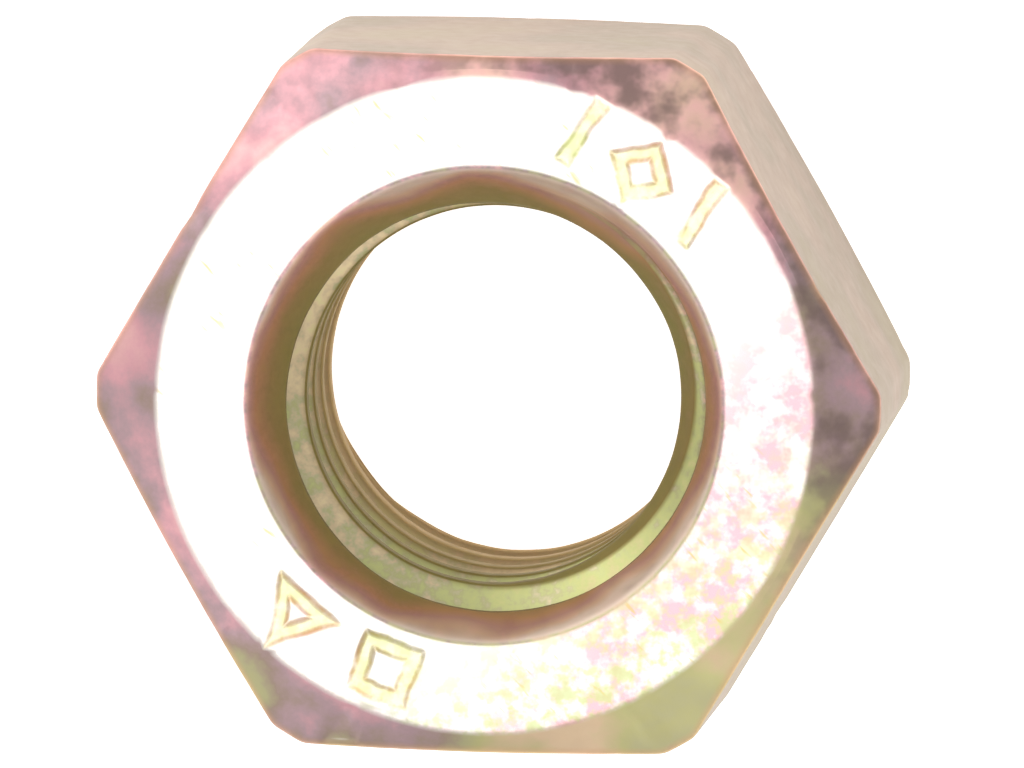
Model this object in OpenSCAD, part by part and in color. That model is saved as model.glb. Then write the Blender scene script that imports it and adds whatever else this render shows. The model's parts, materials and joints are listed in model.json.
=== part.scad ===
// Plain hexagon nut, M12 x 1.75, lying flat with its marked face up.
// Millimetres. The bore runs along Z, the lower bearing face is at Z = 0,
// two wrench flats face +Y and -Y, and two corners point along +X and -X.

/* [Hexagon] */
// Width across the wrench flats
across_flats = 19; // [18:0.1:19]
// Width across the corners, which are rounded off
across_corners = 21.4; // [21.1:0.05:21.6]
// Height between the two bearing faces
height = 10; // [9.6:0.1:10.8]
// Diameter of the flat bearing face inside the corner chamfer
face_diameter = 17.9; // [17.4:0.1:17.9]
// Slope of the corner chamfer below the bearing face
chamfer_angle = 30; // [20:1:32]

/* [Bore and thread] */
// Crest (minor) diameter of the internal thread
minor_diameter = 10.44; // [10.2:0.02:10.44]
// Root (major) diameter of the internal thread
major_diameter = 12; // [11.9:0.05:12.1]
// Distance between neighbouring turns
pitch = 1.75; // [1.5:0.25:1.75]
// Height of the groove's middle above the plain face, on the +X side
thread_start = 0.26; // [0:0.01:1.74]
// Mouth of the countersink on each bearing face
countersink_diameter = 12.85; // [12.3:0.05:13.2]
// Included angle of the deep countersink in the marked face
lead_in_angle = 64; // [60:1:120]
// Included angle of the shallow countersink in the plain face
back_angle = 120; // [90:5:120]

/* [Stamped marks] */
// Depth of the marks pressed into the upper face
mark_depth = 0.15; // [0.1:0.05:0.25]
// Width of the pressed line
mark_line = 0.35; // [0.3:0.05:0.5]
// Height of the bars and of the diamond between them
bar_height = 1.9; // [1.6:0.1:2.1]
// Distance from one mark to the next in the bar, diamond, bar group
bar_spacing = 1.95; // [1.8:0.05:2.1]

/* [Hidden] */
$fn = 96;
flat_sides = 6;
corner_radius = across_corners / 2;
hex_radius = across_flats / 2 / cos(180 / flat_sides);
minor_radius = minor_diameter / 2;
major_radius = major_diameter / 2;
sink_radius = countersink_diameter / 2;
lead_in_depth = (sink_radius - minor_radius) / tan(lead_in_angle / 2);
back_depth = (sink_radius - minor_radius) / tan(back_angle / 2);
chamfer_slope = tan(chamfer_angle);
// How far a cutter runs past the surface it opens
clear = 1;
// The groove starts below the nut and leaves above it
steps_per_turn = 36;
run_out = 1;
turns = ceil(height / pitch) + 2 * run_out;
steps = turns * steps_per_turn;
flank_slope = tan(30);
root_half = pitch / 16;
groove_inner = minor_radius - 0.35;
inner_half = root_half + (major_radius - groove_inner) * flank_slope;
// Where the marks sit on the ring between the countersink and the chamfer
mark_radius = 7.7;
class_angle = 57;
triangle_angle = 229;
square_angle = 250.5;
shape_size = 1.15;

// Six flats, with the corners turned back and chamfered at both ends
module blank() {
    apex = (corner_radius + clear) * chamfer_slope;
    base_z = (face_diameter / 2) * chamfer_slope;
    intersection() {
        cylinder(h = height, r = hex_radius, $fn = flat_sides);
        cylinder(h = height, r = corner_radius);
        rotate_extrude()
            polygon([
                [0, 0],
                [face_diameter / 2, 0],
                [corner_radius + clear, apex - base_z],
                [corner_radius + clear, height - apex + base_z],
                [face_diameter / 2, height],
                [0, height]
            ]);
    }
}

// Plain hole at the crest diameter, opened by a countersink at both ends
module bore() {
    rotate_extrude()
        polygon([
            [0, -clear],
            [sink_radius + clear * tan(back_angle / 2), -clear],
            [minor_radius, back_depth],
            [minor_radius, height - lead_in_depth],
            [sink_radius + clear * tan(lead_in_angle / 2), height + clear],
            [0, height + clear]
        ]);
}

// One point of the groove: i steps along the helix, corner c of its section
function groove_corner(i, c) =
    let (
        a = i * 360 / steps_per_turn,
        r = (c == 1 || c == 2) ? major_radius : groove_inner,
        half = (c == 1 || c == 2) ? root_half : inner_half,
        side = (c < 2) ? -1 : 1,
        rise = thread_start + (i / steps_per_turn - run_out) * pitch
    )
    [r * cos(a), r * sin(a), rise + side * half];

// Right-hand groove of the internal thread, swept up the bore
module groove() {
    points = [for (i = [0:steps], c = [0:3]) groove_corner(i, c)];
    sides = [
        for (i = [0:steps - 1], c = [0:3], t = [0:1])
            let (n = (c + 1) % 4, a = 4 * i, b = 4 * i + 4)
                t == 0 ? [a + c, b + n, b + c] : [a + c, a + n, b + n]
    ];
    ends = [
        [2, 1, 0], [3, 2, 0],
        [4 * steps, 4 * steps + 1, 4 * steps + 2],
        [4 * steps, 4 * steps + 2, 4 * steps + 3]
    ];
    polyhedron(points = points, faces = concat(sides, ends));
}

// Places one mark on the upper face with its top turned outwards
module on_face(angle, sideways = 0) {
    rotate(angle - 90)
        translate([sideways, mark_radius, height - mark_depth])
            children();
}

// Straight pressed bar
module bar() {
    translate([-mark_line / 2, -bar_height / 2, 0])
        cube([mark_line, bar_height, mark_depth + clear]);
}

// Pressed outline with the given number of sides
module outline(size, sides) {
    inner = size - mark_line / cos(180 / sides);
    difference() {
        cylinder(h = mark_depth + clear, r = size, $fn = sides);
        translate([0, 0, -clear])
            cylinder(h = mark_depth + 3 * clear, r = inner, $fn = sides);
    }
}

// Bar, diamond, bar, and further round the face a triangle and a square
module marks() {
    on_face(class_angle, -bar_spacing) bar();
    on_face(class_angle) outline(bar_height / 2, 4);
    on_face(class_angle, bar_spacing) bar();
    on_face(triangle_angle) rotate(90) outline(shape_size, 3);
    on_face(square_angle) rotate(45) outline(shape_size, 4);
}

module hex_nut() {
    color([0.80, 0.72, 0.52])
        difference() {
            blank();
            bore();
            groove();
            marks();
        }
}

hex_nut();
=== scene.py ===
import json
import math

import bpy
from mathutils import Matrix, Vector


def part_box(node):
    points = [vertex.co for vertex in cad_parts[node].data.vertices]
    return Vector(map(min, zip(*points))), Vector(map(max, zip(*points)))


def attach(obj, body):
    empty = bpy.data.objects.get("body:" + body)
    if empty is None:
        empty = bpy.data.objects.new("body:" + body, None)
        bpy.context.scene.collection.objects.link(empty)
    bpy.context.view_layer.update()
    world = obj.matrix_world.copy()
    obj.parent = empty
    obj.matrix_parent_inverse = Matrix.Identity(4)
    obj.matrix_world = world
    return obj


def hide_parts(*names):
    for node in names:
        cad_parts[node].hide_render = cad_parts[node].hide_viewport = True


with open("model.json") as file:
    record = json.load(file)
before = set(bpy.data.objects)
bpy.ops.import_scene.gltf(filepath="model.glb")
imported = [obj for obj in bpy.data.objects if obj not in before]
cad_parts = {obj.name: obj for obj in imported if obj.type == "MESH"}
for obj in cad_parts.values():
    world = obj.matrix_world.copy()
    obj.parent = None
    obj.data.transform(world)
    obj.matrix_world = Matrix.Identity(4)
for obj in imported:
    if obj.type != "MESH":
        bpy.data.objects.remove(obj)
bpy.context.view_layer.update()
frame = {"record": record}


# --- Hexagon nut -------------------------------------------------------------
# One piece of cold-forged steel, tapped M12 x 1.75, zinc plated and yellow
# passivated. Its shape follows a rule all round the axis, so Geometry Nodes
# wrap two grids round it: the threaded bore, and the faces and wrench flats.
MM = 0.001
low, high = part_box("hex_nut")
thread = next(m for m in frame["record"]["mounts"] if m["name"] == "thread")
height = (high[2] - low[2]) / MM
wall_length = thread["dims"]["length_mm"]
wall_middle = thread["pos_m"][2] / MM
FRONT_TAN = math.tan(math.radians(32))  # deep countersink in the marked face
BACK_TAN = math.tan(math.radians(60))  # shallow countersink in the plain face
CHAMFER_TAN = math.tan(math.radians(30))
back_depth = wall_middle - wall_length / 2
sink_radius = thread["dims"]["r_mm"] + back_depth * BACK_TAN
CREST_INSET = 0.11  # the crest stands in from the mount's radius, still within class 6H

SIZES = {
    "Across flats": (high[1] - low[1]) / MM,
    "Across corners": (high[0] - low[0]) / MM,
    "Height": height,
    "Face radius": 8.95,
    "Crest radius": thread["dims"]["r_mm"] - CREST_INSET,
    "Root radius": 6.0,
    "Pitch": 1.75,
    "Thread start": 0.26,
    "Countersink radius": sink_radius,
    "Mark depth": 0.065,
}

# Columns of the outer grid, in degrees: (from, to, step). They are close
# together at the pressed marks and at the rounded corners.
MARKS_STEP = 0.2
CORNER_STEP = 0.5
PLAIN_STEP = 1.5
COLUMNS = [
    (0, 6, CORNER_STEP),
    (6, 37.5, PLAIN_STEP),
    (37.5, 76.5, MARKS_STEP),
    (76.5, 114, PLAIN_STEP),
    (114, 126, CORNER_STEP),
    (126, 174, PLAIN_STEP),
    (174, 186, CORNER_STEP),
    (186, 217.5, PLAIN_STEP),
    (217.5, 262.5, MARKS_STEP),
    (262.5, 294, PLAIN_STEP),
    (294, 306, CORNER_STEP),
    (306, 354, PLAIN_STEP),
    (354, 360, CORNER_STEP),
]
BORE_STEP = 2  # degrees between the columns of the bore grid
ROWS_PER_TURN = 24
RUN_IN = 1.125  # turns that the bore's rows start below the groove
SEAM_RADIUS = 6.2  # where the two grids meet, on the countersinks


def linear(hex_colour):
    """The linear colour of an sRGB hex value, with full alpha."""
    parts = [int(hex_colour[i : i + 2], 16) / 255 for i in (1, 3, 5)]
    parts = [c / 12.92 if c <= 0.04045 else ((c + 0.055) / 1.055) ** 2.4 for c in parts]
    return (*parts, 1.0)


def add(tree, kind, *inputs, out=0, stops=(), **settings):
    """Adds one node with its settings, stops and inputs in order, and returns one output."""
    node = tree.nodes.new(kind)
    for name, value in settings.items():
        setattr(node, name, value)
    for position, colour in stops[2:]:
        node.color_ramp.elements.new(position)
    for element, (position, colour) in zip(node.color_ramp.elements if stops else (), stops):
        element.position, element.color = position, linear(colour)
    for socket, value in zip([s for s in node.inputs if s.enabled], inputs):
        if isinstance(value, bpy.types.NodeSocket):
            tree.links.new(value, socket)
        elif value is not None:
            socket.default_value = linear(value) if socket.type == "RGBA" else value
    return [s for s in node.outputs if s.enabled][out]


MATH = "ShaderNodeMath"
MIX = "ShaderNodeMix"
VECTOR = "ShaderNodeVectorMath"
ACROSS = (1.0, 1.0, 0.0)  # keeps x and y, whose length is the distance from the axis


def grow(tree, counter, start, stretches):
    """A value that begins at start and grows by a given amount over each stretch of a counter."""
    value, count = start, 0
    for steps, growth in stretches:
        rise = add(tree, "ShaderNodeMapRange", counter, count, count + steps, 0.0, growth)
        value = add(tree, MATH, value, rise, operation="ADD")
        count += steps
    return value


def column_and_row(tree, rows):
    """The column and the row of each point of a grid that has this many rows of points."""
    index = add(tree, "GeometryNodeInputIndex")
    column = add(tree, MATH, index, rows, operation="DIVIDE")
    column = add(tree, MATH, column, 0.0, operation="FLOOR")
    start = add(tree, MATH, column, rows, operation="MULTIPLY")
    return column, add(tree, MATH, index, start, operation="SUBTRACT")


def round_the_axis(tree, angle, radius, z):
    """The point at this angle, radius and height."""
    cos = add(tree, MATH, angle, operation="COSINE")
    sin = add(tree, MATH, angle, operation="SINE")
    x = add(tree, MATH, radius, cos, operation="MULTIPLY")
    y = add(tree, MATH, radius, sin, operation="MULTIPLY")
    return add(tree, "ShaderNodeCombineXYZ", x, y, z)


g = bpy.data.node_groups.new("hex nut", "GeometryNodeTree")
socket_ids = {}
for name in SIZES:
    socket = g.interface.new_socket(name, in_out="INPUT", socket_type="NodeSocketFloat")
    socket_ids[name] = socket.identifier
g.interface.new_socket("Geometry", in_out="OUTPUT", socket_type="NodeSocketGeometry")
size = g.nodes.new("NodeGroupInput").outputs
top = size["Height"]
corner_radius = add(g, MATH, size["Across corners"], 0.5, operation="MULTIPLY")
flat_radius = add(g, MATH, size["Across flats"], 0.5, operation="MULTIPLY")
seam_inset = add(g, MATH, size["Countersink radius"], SEAM_RADIUS, operation="SUBTRACT")
front_seam = add(g, MATH, seam_inset, FRONT_TAN, operation="DIVIDE")
front_seam = add(g, MATH, top, front_seam, operation="SUBTRACT")
back_seam = add(g, MATH, seam_inset, BACK_TAN, operation="DIVIDE")

# The bore: rows follow the helix, so that every crest and root is a clean line.
ROOT_ROUND = 0.10  # each of these is the width over which two surfaces blend
CREST_ROUND = 0.12
CONE_ROUND = 0.06
bore_columns = int(360 / BORE_STEP) + 1
bore_rows = math.ceil((height / SIZES["Pitch"] + 1) * ROWS_PER_TURN) + 1
column, row = column_and_row(g, bore_rows)
bore_angle = add(g, MATH, column, math.radians(BORE_STEP), operation="MULTIPLY")
bore_turn = add(g, MATH, bore_angle, math.tau, operation="DIVIDE")
climb = add(g, MATH, row, ROWS_PER_TURN, operation="DIVIDE")
climb = add(g, MATH, climb, RUN_IN, operation="SUBTRACT")
climb = add(g, MATH, climb, bore_turn, operation="ADD")
bore_z = add(g, MATH, climb, size["Pitch"], size["Thread start"], operation="MULTIPLY_ADD")
bore_z = add(g, MATH, bore_z, back_seam, operation="MAXIMUM")
bore_z = add(g, MATH, bore_z, front_seam, operation="MINIMUM")

# Distance along the axis from the middle of the groove, 0 to half a pitch.
phase = add(g, MATH, bore_z, size["Thread start"], operation="SUBTRACT")
phase = add(g, MATH, phase, size["Pitch"], operation="DIVIDE")
phase = add(g, MATH, phase, bore_turn, operation="SUBTRACT")
away = add(g, MATH, phase, 0.5, operation="PINGPONG")
away = add(g, MATH, away, size["Pitch"], operation="MULTIPLY")
root_half = add(g, MATH, size["Pitch"], 1 / 16, operation="MULTIPLY")
FLANK_SLOPE = math.sqrt(3)  # flanks at 60 degrees to each other
flank = add(g, MATH, away, root_half, operation="SUBTRACT")
flank = add(g, MATH, flank, FLANK_SLOPE, operation="MULTIPLY")
flank = add(g, MATH, size["Root radius"], flank, operation="SUBTRACT")
groove = add(g, MATH, flank, size["Root radius"], ROOT_ROUND, operation="SMOOTH_MIN")
groove = add(g, MATH, groove, size["Crest radius"], CREST_ROUND, operation="SMOOTH_MAX")
above = add(g, MATH, top, bore_z, operation="SUBTRACT")
front_cone = add(g, MATH, above, -FRONT_TAN, size["Countersink radius"], operation="MULTIPLY_ADD")
back_cone = add(g, MATH, bore_z, -BACK_TAN, size["Countersink radius"], operation="MULTIPLY_ADD")
bore_radius = add(g, MATH, groove, front_cone, CONE_ROUND, operation="SMOOTH_MAX")
bore_radius = add(g, MATH, bore_radius, back_cone, CONE_ROUND, operation="SMOOTH_MAX")
bore = add(g, "GeometryNodeMeshGrid", 1.0, 1.0, bore_columns, bore_rows)
bore_place = round_the_axis(g, bore_angle, bore_radius, bore_z)
bore = add(g, "GeometryNodeSetPosition", bore, True, bore_place)

# The outside: rows run out over the marked face, down a wrench flat and back
# in under the nut. A stretch is a number of steps and how far they reach in all.
angle_stretches = [(round((b - a) / step), math.radians(b - a)) for a, b, step in COLUMNS]
outer_columns = sum(steps for steps, _ in angle_stretches) + 1
FACE_STRETCHES = [(9, 0.45), (2, 0.15), (45, 2.15), (4, 0.2)]
BACK_STRETCHES = [(4, -0.2), (6, -0.4), (6, -1.95), (8, -0.4)]
SIDE_STRETCHES = (3, 7, 5, 7, 3)
RIM_RADIUS = SEAM_RADIUS + sum(growth for _, growth in FACE_STRETCHES)
EDGE = 0.18  # half the height of the close rows along the edge of chamfer and flat
face_rows = sum(steps for steps, _ in FACE_STRETCHES)
back_rows = sum(steps for steps, _ in BACK_STRETCHES)
side_rows = sum(SIDE_STRETCHES)
outer_rows = face_rows + side_rows + back_rows + 1
column, row = column_and_row(g, outer_rows)
outer_angle = grow(g, column, 0.0, angle_stretches)

# The hexagon with its corners turned back. Every edge is blended over a width.
CORNER_ROUND = 0.12
CHAMFER_ROUND = 0.20
FRONT_LIP_ROUND = 0.42
FRONT_RIM_ROUND = 0.20
BACK_LIP_ROUND = 0.08
BACK_RIM_ROUND = 0.10
sixth = add(g, MATH, outer_angle, math.radians(60), operation="DIVIDE")
sixth = add(g, MATH, sixth, 0.5, operation="PINGPONG")
from_flat = add(g, MATH, 0.5, sixth, operation="SUBTRACT")
from_flat = add(g, MATH, from_flat, math.radians(60), operation="MULTIPLY")
hexagon = add(g, MATH, from_flat, operation="COSINE")
hexagon = add(g, MATH, flat_radius, hexagon, operation="DIVIDE")
wall = add(g, MATH, hexagon, corner_radius, CORNER_ROUND, operation="SMOOTH_MIN")

# Height of the edge between chamfer and flat, which dips at the corners.
edge_drop = add(g, MATH, wall, size["Face radius"], operation="SUBTRACT")
edge_drop = add(g, MATH, edge_drop, CHAMFER_TAN, operation="MULTIPLY")
rim_drop = (RIM_RADIUS - SIZES["Face radius"]) * CHAMFER_TAN
to_edge = add(g, MATH, edge_drop, rim_drop + EDGE, operation="SUBTRACT")
middle = add(g, MATH, edge_drop, EDGE, operation="ADD")
middle = add(g, MATH, middle, -2.0, top, operation="MULTIPLY_ADD")
side_growths = (to_edge, 2 * EDGE, middle, 2 * EDGE, to_edge)
side_row = add(g, MATH, row, face_rows, operation="SUBTRACT")
side_drop = grow(g, side_row, rim_drop, list(zip(SIDE_STRETCHES, side_growths)))
side_z = add(g, MATH, top, side_drop, operation="SUBTRACT")
near_end = add(g, MATH, side_drop, side_z, operation="MINIMUM")
chamfer = add(g, MATH, near_end, 1 / CHAMFER_TAN, size["Face radius"], operation="MULTIPLY_ADD")
side_radius = add(g, MATH, chamfer, wall, CHAMFER_ROUND, operation="SMOOTH_MIN")

# How worn a point is by the edge between chamfer and flat, 0 to 1; the material also gathers its
# painted shade on one chamfer towards this edge. The wear grows over the last 0.4 mm above the edge
# and is gone 0.14 mm below it.
to_chamfer_edge = add(g, MATH, near_end, edge_drop, operation="SUBTRACT")
edge_wear_and_shade = add(g, "ShaderNodeMapRange", to_chamfer_edge, -0.40, -0.02)
below_edge = add(g, "ShaderNodeMapRange", to_chamfer_edge, 0.14, 0.04)
edge_wear_and_shade = add(g, MATH, edge_wear_and_shade, below_edge, operation="MULTIPLY")

# The two faces, from the countersink's soft lip to the start of the chamfer.
back_row = add(g, MATH, row, face_rows + side_rows, operation="SUBTRACT")
on_back = add(g, MATH, back_row, -0.5, operation="GREATER_THAN")
on_front = add(g, MATH, row, face_rows + 0.5, operation="LESS_THAN")
face_radius = grow(g, row, SEAM_RADIUS, FACE_STRETCHES)
face_radius = grow(g, back_row, face_radius, BACK_STRETCHES)
inset = add(g, MATH, size["Countersink radius"], face_radius, operation="SUBTRACT")
front_lip = add(g, MATH, inset, FRONT_TAN, operation="DIVIDE")
front_lip = add(g, MATH, front_lip, 0.0, FRONT_LIP_ROUND, operation="SMOOTH_MAX")
back_lip = add(g, MATH, inset, BACK_TAN, operation="DIVIDE")
back_lip = add(g, MATH, back_lip, 0.0, BACK_LIP_ROUND, operation="SMOOTH_MAX")
slope = add(g, MATH, face_radius, size["Face radius"], operation="SUBTRACT")
slope = add(g, MATH, slope, CHAMFER_TAN, operation="MULTIPLY")
front_drop = add(g, MATH, front_lip, slope, FRONT_RIM_ROUND, operation="SMOOTH_MAX")
back_drop = add(g, MATH, back_lip, slope, BACK_RIM_ROUND, operation="SMOOTH_MAX")
front_z = add(g, MATH, top, front_drop, operation="SUBTRACT")
flat_face = add(g, MATH, on_back, on_front, operation="ADD")
on_side = add(g, MATH, 1.0, flat_face, operation="SUBTRACT")
edge_wear_and_shade = add(g, MATH, edge_wear_and_shade, on_side, operation="MULTIPLY")
outer_radius = add(g, MIX, flat_face, side_radius, face_radius, data_type="FLOAT")
outer_z = add(g, MIX, on_front, side_z, front_z, data_type="FLOAT")
outer_z = add(g, MIX, on_back, outer_z, back_drop, data_type="FLOAT")

# The first and last rows take the bore's columns, so the seam closes.
half_step = add(g, MATH, outer_angle, math.radians(BORE_STEP / 2), operation="ADD")
snapped = add(g, MATH, half_step, math.radians(BORE_STEP), operation="SNAP")
first = add(g, MATH, row, 0.5, operation="LESS_THAN")
last = add(g, MATH, row, outer_rows - 1.5, operation="GREATER_THAN")
on_seam = add(g, MATH, first, last, operation="ADD")
outer_angle = add(g, MIX, on_seam, outer_angle, snapped, data_type="FLOAT")
outer_place = round_the_axis(g, outer_angle, outer_radius, outer_z)

# Marks pressed into the upper face: bar, diamond, bar, and further round a
# triangle and a square. Each is the distance of a point from its line.
LINE_WIDTH = 0.35
BAR_HEIGHT = 1.9
BAR_SPACING = 1.95
SHAPE_RADIUS = 1.15
MARK_RADIUS = 7.7
MARKS = [  # shape, bearing in degrees, distance sideways
    ("bar", 57, -BAR_SPACING),
    ("diamond", 57, 0),
    ("bar", 57, BAR_SPACING),
    ("triangle", 229, 0),
    ("square", 250.5, 0),
]
MARK_WALL = 0.13  # how far the wall of a pressed line leans
HEAP_WIDTH = 0.30  # how far out the metal heaps up round a pressed line
HEAP_HEIGHT = 0.012
NO_MARK = 9.0  # a distance at which a mark has no effect

# The lines wander by a few hundredths of a millimetre, as a worn stamp's do.
WANDER = (0.22, 0.22, 0.0)
WANDERS_PER_MM = 1.1
wobble = add(g, "ShaderNodeTexNoise", outer_place, WANDERS_PER_MM, 2.0, noise_dimensions="3D", out=1)
wobble = add(g, VECTOR, wobble, (0.5, 0.5, 0.5), operation="SUBTRACT")
wobble = add(g, VECTOR, wobble, WANDER, operation="MULTIPLY")
hand_set = add(g, VECTOR, outer_place, wobble, operation="ADD")
mark_edge = NO_MARK
for shape_name, bearing, sideways in MARKS:
    turn = math.radians(90 - bearing)
    turned = add(g, "ShaderNodeVectorRotate", hand_set, None, turn, rotation_type="Z_AXIS")
    local = add(g, VECTOR, turned, (sideways, MARK_RADIUS, 0.0), operation="SUBTRACT")
    aside = add(g, MATH, add(g, "ShaderNodeSeparateXYZ", local, out=0), operation="ABSOLUTE")
    outward = add(g, "ShaderNodeSeparateXYZ", local, out=1)
    along = add(g, MATH, outward, operation="ABSOLUTE")
    if shape_name == "bar":
        edge = add(g, MATH, aside, (BAR_HEIGHT - LINE_WIDTH) / 2, operation="ADD")
        edge = add(g, MATH, edge, along, operation="MAXIMUM")
        edge = add(g, MATH, edge, BAR_HEIGHT / 2, operation="SUBTRACT")
    elif shape_name == "diamond":
        edge = add(g, MATH, aside, along, operation="ADD")
        edge = add(g, MATH, edge, BAR_HEIGHT / 2, operation="SUBTRACT")
        edge = add(g, MATH, edge, math.sqrt(0.5), operation="MULTIPLY")
    elif shape_name == "triangle":
        below = add(g, MATH, outward, -1.0, operation="MULTIPLY")
        edge = add(g, MATH, outward, 0.5, operation="MULTIPLY")
        edge = add(g, MATH, aside, math.sqrt(0.75), edge, operation="MULTIPLY_ADD")
        edge = add(g, MATH, edge, below, operation="MAXIMUM")
        edge = add(g, MATH, edge, SHAPE_RADIUS / 2, operation="SUBTRACT")
    else:
        edge = add(g, MATH, aside, along, operation="MAXIMUM")
        edge = add(g, MATH, edge, SHAPE_RADIUS * math.sqrt(0.5), operation="SUBTRACT")
    if shape_name != "bar":
        edge = add(g, MATH, edge, LINE_WIDTH / 2, operation="ADD")
        edge = add(g, MATH, edge, operation="ABSOLUTE")
        edge = add(g, MATH, edge, LINE_WIDTH / 2, operation="SUBTRACT")
    mark_edge = add(g, MATH, mark_edge, edge, operation="MINIMUM")
SOFTLY = {"interpolation_type": "SMOOTHSTEP"}
pressed = add(g, "ShaderNodeMapRange", mark_edge, MARK_WALL, -MARK_WALL, 0.0, 1.0, **SOFTLY)
pressed = add(g, MATH, pressed, on_front, operation="MULTIPLY")
UNEVEN_PER_MM = 0.55  # some marks are pressed deeper than others
uneven = add(g, "ShaderNodeTexNoise", outer_place, UNEVEN_PER_MM, 1.0, noise_dimensions="3D")
uneven = add(g, "ShaderNodeMapRange", uneven, 0.3, 0.7, 0.55, 1.15)
sunk = add(g, MATH, size["Mark depth"], uneven, operation="MULTIPLY")
sunk = add(g, MATH, sunk, pressed, operation="MULTIPLY")
heap = add(g, "ShaderNodeMapRange", mark_edge, HEAP_WIDTH, MARK_WALL, 0.0, HEAP_HEIGHT, **SOFTLY)
heap = add(g, MATH, heap, on_front, operation="MULTIPLY")
sunk = add(g, MATH, heap, sunk, operation="SUBTRACT")
sunk = add(g, "ShaderNodeCombineXYZ", 0.0, 0.0, sunk)
outer_place = add(g, VECTOR, outer_place, sunk, operation="ADD")
outside = add(g, "GeometryNodeMeshGrid", 1.0, 1.0, outer_columns, outer_rows)
outside = add(g, "GeometryNodeSetPosition", outside, True, outer_place)
for name, value in (("pressed", pressed), ("edge_wear_and_shade", edge_wear_and_shade)):
    outside = add(g, "GeometryNodeStoreNamedAttribute", outside, True, name, value, data_type="FLOAT")

both = g.nodes.new("GeometryNodeJoinGeometry")
g.links.new(bore, both.inputs[0])
g.links.new(outside, both.inputs[0])
WELD = 0.004
closed = add(g, "GeometryNodeMergeByDistance", both.outputs[0], True, WELD)
closed = add(g, "GeometryNodeFlipFaces", closed)

# Tumbling in the plating barrel leaves the skin slightly wavy, and knocks
# small flats and nicks into the outer edges. Both only take metal away.
WAVES_PER_MM = 0.9
WAVE_DEPTH = 0.014
KNOCKS_PER_MM = 1.1
KNOCK_DEPTH = 0.05
spot = add(g, "GeometryNodeInputPosition")
skin = add(g, "GeometryNodeInputNormal")
wave = add(g, "ShaderNodeTexNoise", spot, WAVES_PER_MM, 2.0, 0.5, noise_dimensions="3D")
wave = add(g, "ShaderNodeMapRange", wave, 0.2, 0.8, -WAVE_DEPTH, 0.0)
knock = add(g, "ShaderNodeTexNoise", spot, KNOCKS_PER_MM, 1.0, 0.5, noise_dimensions="3D")
knock = add(g, "ShaderNodeMapRange", knock, 0.60, 0.78, 0.0, -KNOCK_DEPTH, **SOFTLY)
from_axis = add(g, VECTOR, spot, ACROSS, operation="MULTIPLY")
from_axis = add(g, VECTOR, from_axis, operation="LENGTH")
outer_edge = add(g, "ShaderNodeMapRange", from_axis, 8.7, 9.3, 0.0, 1.0)
knock = add(g, MATH, knock, outer_edge, operation="MULTIPLY")
push = add(g, MATH, wave, knock, operation="ADD")
push = add(g, VECTOR, skin, push, operation="SCALE")
worn = add(g, "GeometryNodeSetPosition", closed, True, None, push)
worn = add(g, "GeometryNodeTransform", worn)
worn.node.inputs["Scale"].default_value = (MM, MM, MM)
worn = add(g, "GeometryNodeSetShadeSmooth", worn)
whole = add(g, "GeometryNodeRealizeInstances", worn)

# Yellow passivated zinc, barrel plated. The film on the zinc is of uneven thickness, so the eye sees
# straw, rose, mauve and green drifting over a satin grey metal. It is rubbed off along the edges, and
# its tint shows in the walls of the pressed marks, which also carry painted shade. Some colours are
# painted light: the level face is painted near white as a painted highlight, and the sides, the
# darker parts of the bore and one chamfer are painted darker as painted shade.
FACE_HIGHLIGHT_WHITE = "#F0ECE4"
ROSE = "#D898A6"
LIME = "#B4C67C"
STRAW = "#C9AE68"
SIDE_SHADE_BEIGE = "#AA9C8A"
FLANK_LIME = "#D2DA92"
TURNED_AWAY_BROWN_SHADE = "#9C9068"
LOW_BORE_BROWN_SHADE = "#D2B68C"
CHAMFER_SHADE_BROWN = "#83706A"
BARE_EDGE = "#D2A27C"
MARK_CREAM = "#E8DEAE"
MARK_LIME = "#BCCC6C"
AMBER_WALL_SHADE = "#D8A464"
OLIVE_WALL_SHADE = "#B4BA5C"
plated = bpy.data.materials.new("yellow passivated zinc plate")
plated.use_nodes = True
m = plated.node_tree
in_mm = add(m, VECTOR, add(m, "ShaderNodeTexCoord", out=3), 1 / MM, operation="SCALE")
facing = add(m, "ShaderNodeSeparateXYZ", add(m, "ShaderNodeTexCoord", out=1), out=2)
radius = add(m, VECTOR, in_mm, ACROSS, operation="MULTIPLY")
radius = add(m, VECTOR, radius, operation="LENGTH")
level = add(m, "ShaderNodeSeparateXYZ", in_mm, out=2)
pressed = add(m, "ShaderNodeAttribute", out=2, attribute_name="pressed")
edge_wear_and_shade = add(m, "ShaderNodeAttribute", out=2, attribute_name="edge_wear_and_shade")

# Film thickness, with every pattern's real width in millimetres.
DRIFT_WIDTH = 4.0
BLOTCH_WIDTH = 0.5
GRAIN_WIDTH = 0.1  # far coarser than the zinc's own crystals, so that it shows
BATH_OFFSET = (11.0, 3.0, 5.0)  # chooses where on the nut the drifts fall
in_bath = add(m, VECTOR, in_mm, BATH_OFFSET, operation="ADD")
drift = add(m, "ShaderNodeTexNoise", in_bath, 1 / DRIFT_WIDTH, 2.0, 0.4)
blotch = add(m, "ShaderNodeTexNoise", in_mm, 1 / BLOTCH_WIDTH, 3.0, 0.6)
grain = add(m, "ShaderNodeTexNoise", in_mm, 1 / GRAIN_WIDTH, 2.0, 0.6)
in_bore = add(m, "ShaderNodeMapRange", radius, 6.8, 6.4)
mottling = add(m, MATH, in_bore, 0.9, 0.14, operation="MULTIPLY_ADD")
film = add(m, MATH, blotch, 0.5, operation="SUBTRACT")
film = add(m, MATH, film, mottling, operation="MULTIPLY")
film = add(m, MATH, drift, 1.1, film, operation="MULTIPLY_ADD")

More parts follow.
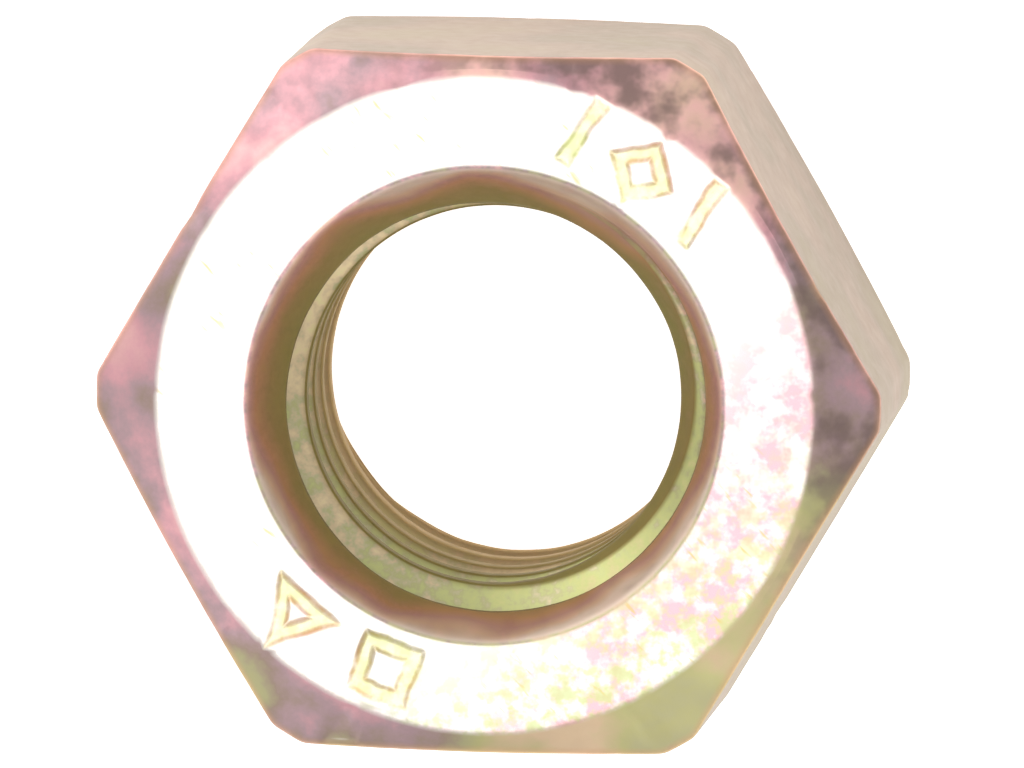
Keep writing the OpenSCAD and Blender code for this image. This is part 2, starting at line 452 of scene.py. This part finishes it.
# The film is thicker towards one side.
THICK_SIDE = (0.5, -0.866, 0.0)
THICKER_PER_MM = 0.017
thick = add(m, VECTOR, in_mm, THICK_SIDE, operation="DOT_PRODUCT")
film = add(m, MATH, thick, THICKER_PER_MM, film, operation="MULTIPLY_ADD")
FILM_COLOURS = [
    (0.15, "#EFD6AE"),
    (0.32, "#F6C6BE"),
    (0.44, "#DDA8AE"),
    (0.52, "#B89CA0"),
    (0.59, "#A69284"),
    (0.66, "#B5B088"),
    (0.76, "#BFBA86"),
    (0.90, "#D8BE9E"),
]
film_colour = add(m, "ShaderNodeValToRGB", film, stops=FILM_COLOURS)

# The level face is painted almost white, a painted highlight where it faces the overhead soft box,
# and breaks into the film's rose and lime clouds on one side. The lime ones follow the blotches.
ROSE_WIDTH = 0.8
is_face = add(m, "ShaderNodeMapRange", facing, 0.93, 0.995)
STAINED_SIDE = (0.84, -0.54, 0.0)
stained = add(m, VECTOR, in_mm, STAINED_SIDE, operation="DOT_PRODUCT")
stained = add(m, "ShaderNodeMapRange", stained, 2.0, 7.0, 0.08, 1.0, **SOFTLY)
rose = add(m, "ShaderNodeTexNoise", in_mm, 1 / ROSE_WIDTH, 3.0, 0.65)
rose = add(m, "ShaderNodeMapRange", rose, 0.36, 0.60, 0.0, 0.8)
rose = add(m, MATH, rose, stained, operation="MULTIPLY")
face_colour = add(m, MIX, rose, FACE_HIGHLIGHT_WHITE, ROSE, data_type="RGBA")
lime_side = add(m, "ShaderNodeMapRange", thick, 3.5, 8.5, 0.06, 0.7, **SOFTLY)
lime = add(m, "ShaderNodeMapRange", blotch, 0.44, 0.60)
lime = add(m, MATH, lime, lime_side, operation="MULTIPLY")
face_colour = add(m, MIX, lime, face_colour, LIME, data_type="RGBA")

# Short straw-coloured scratches, all on one slant.
SCRATCH_LENGTH = 1.2
SCRATCH_WIDTH = 0.25
SLANT = math.radians(45)
slanted = add(m, "ShaderNodeVectorRotate", in_mm, None, SLANT, rotation_type="Z_AXIS")
slanted = add(m, VECTOR, slanted, (1 / SCRATCH_LENGTH, 1 / SCRATCH_WIDTH, 0.0), operation="MULTIPLY")
scratch = add(m, "ShaderNodeTexNoise", slanted, 1.0, 2.0, 0.6)
scratch = add(m, "ShaderNodeMapRange", scratch, 0.62, 0.74, 0.0, 0.7, **SOFTLY)
struck = add(m, "ShaderNodeMapRange", drift, 0.48, 0.58)
scratch = add(m, MATH, scratch, struck, operation="MULTIPLY")
face_colour = add(m, MIX, scratch, face_colour, STRAW, data_type="RGBA")

# The wrench flats and the underside are painted a dull beige, darker than the face: painted shade on
# skin that faces sideways or down. In the bore the countersink goes from rose at its mouth to olive
# further in, the flanks are lime, and crests, skin facing down and the lower bore are painted brown;
# this darkening into the hole is painted shade over the film's own tints.
# The limits are how far the skin faces up, 1 for level and 0 for upright, or
# millimetres from the axis or above the table.
is_flat = add(m, "ShaderNodeMapRange", facing, 0.45, 0.15, 0.0, 0.91)
is_cone = add(m, "ShaderNodeMapRange", facing, 0.82, 0.62, 0.0, 0.88)
is_lip = add(m, "ShaderNodeMapRange", facing, 0.97, 0.80, 0.0, 0.88)
at_lip = add(m, "ShaderNodeMapRange", radius, 6.1, 6.25)
is_lip = add(m, MATH, is_lip, at_lip, operation="MULTIPLY")
is_cone = add(m, MATH, is_cone, is_lip, operation="MAXIMUM")
is_cone = add(m, MATH, is_cone, in_bore, operation="MULTIPLY")
# Painted shade: skin in the bore that faces sideways or down is painted brown.
turned_away_shade_mask = add(m, "ShaderNodeMapRange", facing, 0.45, 0.2, 0.0, 0.8)
turned_away_shade_mask = add(m, MATH, turned_away_shade_mask, in_bore, operation="MULTIPLY")
in_thread = add(m, "ShaderNodeMapRange", radius, 6.05, 5.8, 0.0, 0.52)
# Painted shade: the bore turns browner lower down, further from the marked face.
deep_shade_mask = add(m, "ShaderNodeMapRange", level, 6.5, 1.5, 0.0, 0.8)
deep_shade_mask = add(m, MATH, deep_shade_mask, in_bore, operation="MULTIPLY")
# The countersink is painted from pale rose at its mouth to dark olive further in: the film's tints,
# with painted shade darkening into the hole.
CONE_TINTS_AND_SHADE = [
    (0.0, "#A49A5C"),
    (0.35, "#AE9660"),
    (0.6, "#CFA078"),
    (0.75, "#D2A49A"),
    (0.88, "#EAC8B0"),
    (1.0, "#F2DED0"),
]
cone_colour = add(m, "ShaderNodeMapRange", radius, 5.3, 6.5)
cone_colour = add(m, MATH, cone_colour, 0.8, operation="SUBTRACT")
cone_colour = add(m, MATH, drift, 1.6, cone_colour, operation="MULTIPLY_ADD")
cone_colour = add(m, "ShaderNodeValToRGB", cone_colour, stops=CONE_TINTS_AND_SHADE)
colour = add(m, MIX, in_thread, film_colour, FLANK_LIME, data_type="RGBA")
# Painted shade: skin that faces sideways or down is painted beige.
colour = add(m, MIX, is_flat, colour, SIDE_SHADE_BEIGE, data_type="RGBA")
colour = add(m, MIX, is_cone, colour, cone_colour, data_type="RGBA")
colour = add(m, MIX, turned_away_shade_mask, colour, TURNED_AWAY_BROWN_SHADE, data_type="RGBA")
colour = add(m, MIX, deep_shade_mask, colour, LOW_BORE_BROWN_SHADE, data_type="RGBA")

# Dark patches are painted on the chamfer of the side toward the camera, where no soft box stands:
# painted shade, broken up by noise and gathered along the worn edge. Handling leaves a bare warm line
# along the edges.
SHADE_PATCH_WIDTH = 1.1
SHADED_SIDE = (0.75, 0.65, 0.0)
toward_shaded_side = add(m, VECTOR, in_mm, SHADED_SIDE, operation="DOT_PRODUCT")
toward_shaded_side = add(m, "ShaderNodeMapRange", toward_shaded_side, 2.0, 7.0, 0.05, 0.8)
shade_patches = add(m, "ShaderNodeTexNoise", in_mm, 1 / SHADE_PATCH_WIDTH, 3.0, 0.5)
chamfer_shade = add(m, MATH, edge_wear_and_shade, 0.15, shade_patches, operation="MULTIPLY_ADD")
chamfer_shade = add(m, "ShaderNodeMapRange", chamfer_shade, 0.42, 0.68, **SOFTLY)
chamfer_shade = add(m, MATH, chamfer_shade, toward_shaded_side, operation="MULTIPLY")
on_slope = add(m, "ShaderNodeMapRange", facing, 0.4, 0.7)
on_chamfer = add(m, "ShaderNodeMapRange", radius, 8.6, 9.1)
on_slope = add(m, MATH, on_slope, on_chamfer, operation="MULTIPLY")
chamfer_shade = add(m, MATH, chamfer_shade, on_slope, operation="MULTIPLY")
# Painted shade on the chamfer of the side with no soft box.
colour = add(m, MIX, chamfer_shade, colour, CHAMFER_SHADE_BROWN, data_type="RGBA")
bare = add(m, "ShaderNodeMapRange", edge_wear_and_shade, 0.7, 1.0, 0.0, 0.45)
colour = add(m, MIX, bare, colour, BARE_EDGE, data_type="RGBA")
# The level face gets its painted near-white highlight, with the film's clouds.
colour = add(m, MIX, is_face, colour, face_colour, data_type="RGBA")

# Pressed lines: a thin wall painted amber here and olive there, partly painted shade on its slopes
# and partly the film's tint, round a pale lime floor.
faded = add(m, "ShaderNodeMapRange", blotch, 0.38, 0.62, 0.0, 0.6)
floor_colour = add(m, MIX, faded, MARK_CREAM, MARK_LIME, data_type="RGBA")
mark_floor = add(m, MATH, pressed, 0.75, operation="MULTIPLY")
colour = add(m, MIX, mark_floor, colour, floor_colour, data_type="RGBA")
mark_wall = add(m, MATH, add(m, MATH, pressed, 0.5, operation="SUBTRACT"), operation="ABSOLUTE")
mark_wall = add(m, "ShaderNodeMapRange", mark_wall, 0.5, 0.1)
mark_wall = add(m, MATH, mark_wall, faded, operation="MULTIPLY")
wall_tone = add(m, "ShaderNodeMapRange", drift, 0.42, 0.55)
wall_shade_colour = add(m, MIX, wall_tone, AMBER_WALL_SHADE, OLIVE_WALL_SHADE, data_type="RGBA")
colour = add(m, MIX, mark_wall, colour, wall_shade_colour, data_type="RGBA")

shader = m.nodes["Principled BSDF"].inputs
m.links.new(colour, shader["Base Color"])
shader["Metallic"].default_value = 1.0
rough = add(m, MATH, blotch, 0.25, 0.36, operation="MULTIPLY_ADD")
rough = add(m, MATH, is_flat, 0.15, rough, operation="MULTIPLY_ADD")
rough = add(m, MATH, is_cone, 0.12, rough, operation="MULTIPLY_ADD")
rough = add(m, MATH, is_face, -0.2, rough, operation="MULTIPLY_ADD")
m.links.new(rough, shader["Roughness"])
RELIEF_HEIGHT = 0.02 * MM
relief = add(m, MATH, grain, 0.4, blotch, operation="MULTIPLY_ADD")
relief = add(m, "ShaderNodeBump", 0.2, RELIEF_HEIGHT, None, relief)
m.links.new(relief, shader["Normal"])

finished = add(g, "GeometryNodeSetMaterial", whole, True, plated)
g.links.new(finished, g.nodes.new("NodeGroupOutput").inputs["Geometry"])

maker = bpy.data.objects.new("nut maker", bpy.data.meshes.new("nut maker"))
bpy.context.scene.collection.objects.link(maker)
modifier = maker.modifiers.new("shape", "NODES")
modifier.node_group = g
for name, value in SIZES.items():
    modifier[socket_ids[name]] = float(value)
bpy.context.view_layer.update()
evaluated = maker.evaluated_get(bpy.context.evaluated_depsgraph_get())
shape = bpy.data.meshes.new_from_object(evaluated)
bpy.data.objects.remove(maker)
nut = bpy.data.objects.new("hex_nut_body", shape)
bpy.context.scene.collection.objects.link(nut)
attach(nut, "root")
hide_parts("hex_nut")


# --- Floor, light and camera -------------------------------------------------
# A matt white table top that glows a little, under a large soft box overhead,
# with three smaller soft boxes lower down round it, seen through a long lens.
FLOOR_HALF = 1.5
table = bpy.data.objects.new("table_top", bpy.data.meshes.new("table_top"))
near, far = -FLOOR_HALF, FLOOR_HALF
corners = [(near, near, 0), (far, near, 0), (far, far, 0), (near, far, 0)]
table.data.from_pydata(corners, [], [(0, 1, 2, 3)])
bpy.context.scene.collection.objects.link(table)
white = bpy.data.materials.new("matt white laminate")
white.use_nodes = True
laminate = white.node_tree.nodes["Principled BSDF"].inputs
laminate["Base Color"].default_value = linear("#F2F2F2")
laminate["Roughness"].default_value = 0.9
laminate["Emission Color"].default_value = (1, 1, 1, 1)
laminate["Emission Strength"].default_value = 0.8
table.data.materials.append(white)

world = bpy.data.worlds.new("studio walls")
world.use_nodes = True
world.node_tree.nodes["Background"].inputs["Color"].default_value = (1, 1, 1, 1)
world.node_tree.nodes["Background"].inputs["Strength"].default_value = 0.55
bpy.context.scene.world = world


LIGHT_DISTANCE = 0.95


def soft_box(name, tilt, azimuth, width, radiance):
    """A round soft box facing the nut, placed by its angle from straight up and its bearing."""
    light = bpy.data.lights.new(name, "AREA")
    light.shape = "DISK"
    light.size = width
    light.energy = radiance * math.pi * math.pi * (width / 2) ** 2
    lamp = bpy.data.objects.new(name, light)
    tilt, azimuth = math.radians(tilt), math.radians(azimuth)
    sideways = math.sin(tilt)
    aim = Vector((sideways * math.cos(azimuth), sideways * math.sin(azimuth), math.cos(tilt)))
    turned = aim.to_track_quat("Z", "Y").to_matrix().to_4x4()
    lamp.matrix_world = Matrix.Translation(aim * LIGHT_DISTANCE) @ turned
    bpy.context.scene.collection.objects.link(lamp)


soft_box("overhead soft box", 0, 0, 1.25, 1.25)
soft_box("left soft box", 62, 135, 0.7, 1.7)
soft_box("lower left soft box", 62, 215, 0.7, 0.85)
soft_box("lower right soft box", 62, 300, 0.7, 0.85)

VIEW_TILT = math.radians(9.67)
VIEW_BEARING = math.radians(47.4)
VIEW_ROLL = math.radians(-1.22)
VIEW_DISTANCE = 0.718
VIEW_WIDTH = 27.66 * MM
LEFT_OF_MIDDLE = 0.766 * MM
BELOW_MIDDLE = 0.600 * MM
lean_axis = Vector((-math.sin(VIEW_BEARING), math.cos(VIEW_BEARING), 0))
to_camera = Matrix.Rotation(-VIEW_TILT, 3, lean_axis) @ Matrix.Rotation(VIEW_ROLL, 3, "Z")
pose = to_camera.transposed()
offset = pose @ Vector((LEFT_OF_MIDDLE, BELOW_MIDDLE, VIEW_DISTANCE))
camera = bpy.data.objects.new("camera", bpy.data.cameras.new("camera"))
camera.data.sensor_width = 36
camera.data.lens = camera.data.sensor_width * VIEW_DISTANCE / VIEW_WIDTH
camera.data.clip_start = 0.05
camera.data.clip_end = 20
camera.matrix_world = Matrix.Translation(Vector((0, 0, high[2])) + offset) @ pose.to_4x4()
bpy.context.scene.collection.objects.link(camera)
bpy.context.scene.camera = camera
bpy.context.scene.view_settings.view_transform = "Standard"
